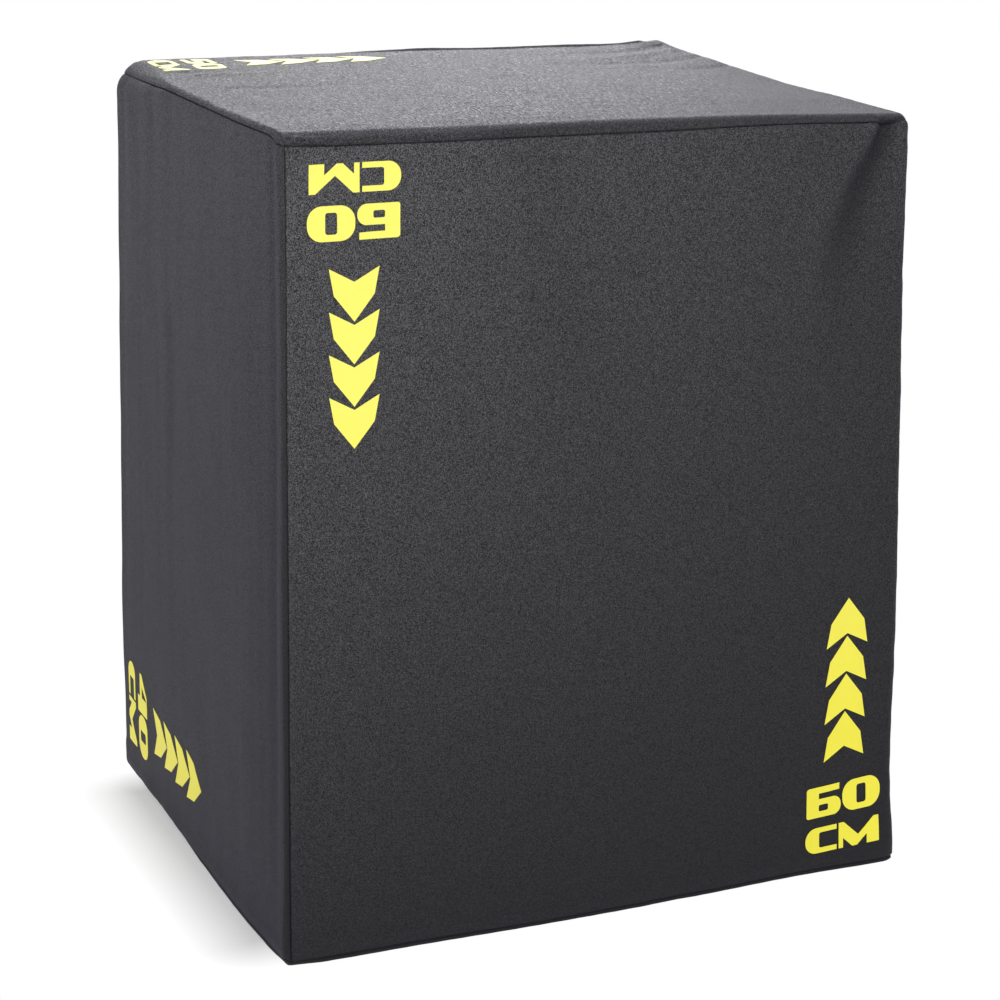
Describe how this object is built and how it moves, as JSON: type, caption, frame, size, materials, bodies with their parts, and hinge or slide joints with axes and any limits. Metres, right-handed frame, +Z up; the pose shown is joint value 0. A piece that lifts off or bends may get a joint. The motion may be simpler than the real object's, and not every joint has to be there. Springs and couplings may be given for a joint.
{
  "type": "plyo box",
  "caption": "Soft jump box that stands at any of its side lengths: foam-wrapped plywood core in a sewn dark fabric cover with printed height marks and a zipped rear flap.",
  "frame": {"origin": "centre of the face that stands on the floor", "axes": "+Z up, along the longest side; +X to the right seen from the front; +Y to the rear, where the zip is"},
  "size_m": [0.5, 0.4058, 0.6],
  "materials": {
    "plywood": "bare birch-faced plywood",
    "screw_steel": "zinc plated",
    "foam": "pale closed-cell foam, matt",
    "cover_fabric": "fine woven coated polyester, soft sheen",
    "zip_tape": "woven polyester tape",
    "zip_coil": "nylon coil, satin",
    "zip_metal": "black lacquered die casting",
    "print_yellow": "thin printed film, satin"
  },
  "bodies": {
    "box": {"core_front": "plywood", "core_back": "plywood", "core_left": "plywood", "core_right": "plywood", "core_bottom": "plywood", "core_top": "plywood", "brace_wide": "plywood", "brace_deep": "plywood", "core_screws": "screw_steel", "foam_front": "foam", "foam_back": "foam", "foam_left": "foam", "foam_right": "foam", "foam_bottom": "foam", "foam_top": "foam", "cover_front": "cover_fabric", "cover_left": "cover_fabric", "cover_right": "cover_fabric", "cover_bottom": "cover_fabric", "cover_top": "cover_fabric", "zip_tape_fixed": "zip_tape", "zip_coil_fixed": "zip_coil", "zip_stops": "zip_metal"},
    "flap": {"rear_flap": "cover_fabric", "zip_tape_flap": "zip_tape", "zip_coil_flap": "zip_coil"},
    "slider": {"zip_slider": "zip_metal", "zip_slider_crown": "zip_metal"},
    "pull": {"zip_pull": "zip_metal"}
  },
  "joints": [
    {"name": "flap_swing", "type": "hinge", "parent": "box", "child": "flap", "pos_m": [0.198, 0.2, 0.3], "axis": [0, 0, -1], "range_deg": [0, 110]},
    {"name": "slider_run", "type": "slide", "parent": "box", "child": "slider", "axis": [-1, 0, 0], "range_m": [0, 0.415]},
    {"name": "pull_swing", "type": "hinge", "parent": "slider", "child": "pull", "pos_m": [0.222, 0.204, 0.576], "axis": [0, 0, 1], "range_deg": [0, 180]}
  ]
}
